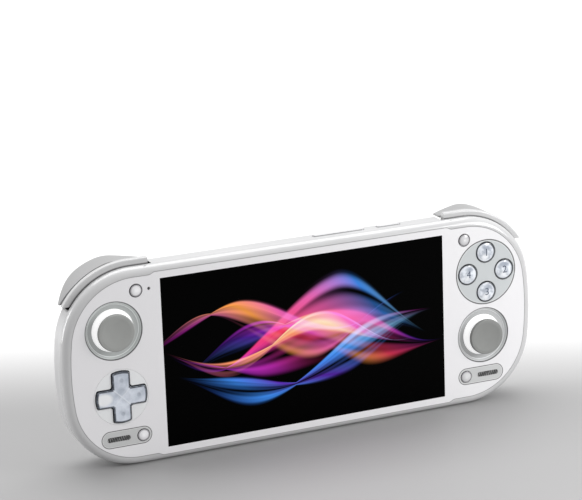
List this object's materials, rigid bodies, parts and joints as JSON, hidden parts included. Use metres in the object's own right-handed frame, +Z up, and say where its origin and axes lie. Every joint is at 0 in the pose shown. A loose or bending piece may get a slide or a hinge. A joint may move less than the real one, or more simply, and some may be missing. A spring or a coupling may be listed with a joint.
{
  "type": "handheld game console",
  "caption": "Wide handheld game console with rounded ends, thumb sticks, cross pad, face buttons, shoulder controls and rear grips.",
  "frame": {"origin": "middle of the flat strip of the long lower edge that it stands on", "axes": "+X to the player's right along the length, +Y from the glass to the back, +Z up"},
  "size_m": [0.2596, 0.0288, 0.1041],
  "materials": {
    "front_glass": "polished, white printed border, black behind the picture",
    "display": "dark bonded panel",
    "shell_white": "glossy, faintly pearly",
    "white_plastic": "glossy",
    "ring_silver": "satin silver",
    "stick_grey": "soft matte",
    "cross_blue_grey": "milky, half clear",
    "plate_white": "satin",
    "crystal": "clear, polished",
    "trigger_grey": "fine grain",
    "steel": "plain",
    "frame_alloy": "pressed sheet",
    "heat_pipe": "bare copper colour",
    "circuit_board": "solder mask",
    "black_plastic": "fine grain",
    "battery_wrap": "foil wrap",
    "mat_rubber": "moulded silicone"
  },
  "bodies": {
    "console": {"battery": "battery_wrap", "bumper_pins": "steel", "button_mat": "mat_rubber", "button_plate": "plate_white", "card_reader": "steel", "case_screws": "steel", "control_board_left": "circuit_board", "control_board_right": "circuit_board", "cross_mat": "mat_rubber", "cross_plate": "plate_white", "display_panel": "display", "edge_board": "circuit_board", "fan_housing": "black_plastic", "front_glass": "front_glass", "front_shell": "shell_white", "haptic_motors": "steel", "heat_pipe": "heat_pipe", "heat_spreader": "frame_alloy", "light_ring_left": "ring_silver", "light_ring_right": "ring_silver", "mainboard": "circuit_board", "microphone": "black_plastic", "midframe": "frame_alloy", "rear_shell": "shell_white", "socket_board": "circuit_board", "speaker_inset_left": "plate_white", "speaker_inset_right": "plate_white", "speaker_left": "black_plastic", "speaker_right": "black_plastic", "stick_module_left": "steel", "stick_module_right": "steel", "trigger_pins": "steel", "trigger_springs": "steel", "usb_port": "steel"},
    "outer_yoke_left": {"outer_yoke_left": "black_plastic"},
    "inner_yoke_left": {"inner_yoke_left": "black_plastic"},
    "stick_left": {"stick_dome_left": "white_plastic", "stick_cap_left": "stick_grey"},
    "outer_yoke_right": {"outer_yoke_right": "black_plastic"},
    "inner_yoke_right": {"inner_yoke_right": "black_plastic"},
    "stick_right": {"stick_dome_right": "white_plastic", "stick_cap_right": "stick_grey"},
    "cross_pivot": {"cross_pivot_ball": "steel"},
    "cross_pad": {"cross_pad": "cross_blue_grey"},
    "face_button_right": {"face_button_right": "crystal"},
    "face_button_top": {"face_button_top": "crystal"},
    "face_button_left": {"face_button_left": "crystal"},
    "face_button_bottom": {"face_button_bottom": "crystal"},
    "key_upper_left": {"key_upper_left": "white_plastic"},
    "key_upper_right": {"key_upper_right": "white_plastic"},
    "key_lower_left": {"key_lower_left": "white_plastic"},
    "key_lower_right": {"key_lower_right": "white_plastic"},
    "bumper_right": {"bumper_right": "shell_white"},
    "trigger_right": {"trigger_right": "trigger_grey"},
    "bumper_left": {"bumper_left": "shell_white"},
    "trigger_left": {"trigger_left": "trigger_grey"},
    "power_key": {"power_key": "white_plastic"},
    "volume_key": {"volume_key": "white_plastic"},
    "fan_rotor": {"fan_rotor": "black_plastic"}
  },
  "joints": [
    {"name": "stick_tilt_x_left", "type": "hinge", "parent": "console", "child": "outer_yoke_left", "pos_m": [-0.1026, 0.0014, 0.0709], "axis": [1, 0, 0], "range_deg": [-11, 11], "stiffness_Nm_per_rad": 0.05},
    {"name": "stick_tilt_z_left", "type": "hinge", "parent": "outer_yoke_left", "child": "inner_yoke_left", "pos_m": [-0.1026, 0.0014, 0.0709], "axis": [0, 0, 1], "range_deg": [-11, 11], "stiffness_Nm_per_rad": 0.05},
    {"name": "stick_click_left", "type": "slide", "parent": "inner_yoke_left", "child": "stick_left", "axis": [0, 1, 0], "range_m": [0, 0.0005], "stiffness_N_per_m": 900, "springref_m": -0.0004},
    {"name": "stick_tilt_x_right", "type": "hinge", "parent": "console", "child": "outer_yoke_right", "pos_m": [0.1006, 0.0014, 0.0369], "axis": [1, 0, 0], "range_deg": [-11, 11], "stiffness_Nm_per_rad": 0.05},
    {"name": "stick_tilt_z_right", "type": "hinge", "parent": "outer_yoke_right", "child": "inner_yoke_right", "pos_m": [0.1006, 0.0014, 0.0369], "axis": [0, 0, 1], "range_deg": [-11, 11], "stiffness_Nm_per_rad": 0.05},
    {"name": "stick_click_right", "type": "slide", "parent": "inner_yoke_right", "child": "stick_right", "axis": [0, 1, 0], "range_m": [0, 0.0005], "stiffness_N_per_m": 900, "springref_m": -0.0004},
    {"name": "cross_rock_x", "type": "hinge", "parent": "console", "child": "cross_pivot", "pos_m": [-0.1006, -0.00275, 0.0369], "axis": [1, 0, 0], "range_deg": [-3, 3], "stiffness_Nm_per_rad": 0.06},
    {"name": "cross_rock_z", "type": "hinge", "parent": "cross_pivot", "child": "cross_pad", "pos_m": [-0.1006, -0.00275, 0.0369], "axis": [0, 0, 1], "range_deg": [-3, 3], "stiffness_Nm_per_rad": 0.06},
    {"name": "face_button_right_press", "type": "slide", "parent": "console", "child": "face_button_right", "axis": [0, 1, 0], "range_m": [0, 0.0011], "stiffness_N_per_m": 450, "springref_m": -0.0006},
    {"name": "face_button_top_press", "type": "slide", "parent": "console", "child": "face_button_top", "axis": [0, 1, 0], "range_m": [0, 0.0011], "stiffness_N_per_m": 450, "springref_m": -0.0006},
    {"name": "face_button_left_press", "type": "slide", "parent": "console", "child": "face_button_left", "axis": [0, 1, 0], "range_m": [0, 0.0011], "stiffness_N_per_m": 450, "springref_m": -0.0006},
    {"name": "face_button_bottom_press", "type": "slide", "parent": "console", "child": "face_button_bottom", "axis": [0, 1, 0], "range_m": [0, 0.0011], "stiffness_N_per_m": 450, "springref_m": -0.0006},
    {"name": "key_upper_left_press", "type": "slide", "parent": "console", "child": "key_upper_left", "axis": [0, 1, 0], "range_m": [0, 0.0005], "stiffness_N_per_m": 1000, "springref_m": -0.0004},
    {"name": "key_upper_right_press", "type": "slide", "parent": "console", "child": "key_upper_right", "axis": [0, 1, 0], "range_m": [0, 0.0005], "stiffness_N_per_m": 1000, "springref_m": -0.0004},
    {"name": "key_lower_left_press", "type": "slide", "parent": "console", "child": "key_lower_left", "axis": [0, 1, 0], "range_m": [0, 0.0005], "stiffness_N_per_m": 1000, "springref_m": -0.0004},
    {"name": "key_lower_right_press", "type": "slide", "parent": "console", "child": "key_lower_right", "axis": [0, 1, 0], "range_m": [0, 0.0005], "stiffness_N_per_m": 1000, "springref_m": -0.0004},
    {"name": "bumper_right_press", "type": "hinge", "parent": "console", "child": "bumper_right", "pos_m": [0.084, -0.00105, 0.0992], "axis": [0, 1, 0], "range_deg": [0, 1.5], "stiffness_Nm_per_rad": 0.8, "springref_deg": -1.15},
    {"name": "trigger_right_pull", "type": "hinge", "parent": "console", "child": "trigger_right", "pos_m": [0.1045, 0.00295, 0.09701], "axis": [-0.9336, 0, 0.3584], "range_deg": [0, 10], "stiffness_Nm_per_rad": 0.12, "springref_deg": -5.73},
    {"name": "bumper_left_press", "type": "hinge", "parent": "console", "child": "bumper_left", "pos_m": [-0.084, -0.00105, 0.0992], "axis": [0, -1, 0], "range_deg": [0, 1.5], "stiffness_Nm_per_rad": 0.8, "springref_deg": -1.15},
    {"name": "trigger_left_pull", "type": "hinge", "parent": "console", "child": "trigger_left", "pos_m": [-0.1045, 0.00295, 0.09701], "axis": [-0.9336, 0, -0.3584], "range_deg": [0, 10], "stiffness_Nm_per_rad": 0.12, "springref_deg": -5.73},
    {"name": "power_key_press", "type": "slide", "parent": "console", "child": "power_key", "axis": [0, 0, -1], "range_m": [0, 0.0003], "stiffness_N_per_m": 1200, "springref_m": -0.0005},
    {"name": "volume_rock", "type": "hinge", "parent": "console", "child": "volume_key", "pos_m": [0.0234, 0.0016, 0.09805], "axis": [0, 1, 0], "range_deg": [-1, 1], "stiffness_Nm_per_rad": 0.3},
    {"name": "fan_spin", "type": "hinge", "parent": "console", "child": "fan_rotor", "pos_m": [0.05, 0.0023, 0.0704], "axis": [0, 1, 0], "continuous": true}
  ]
}
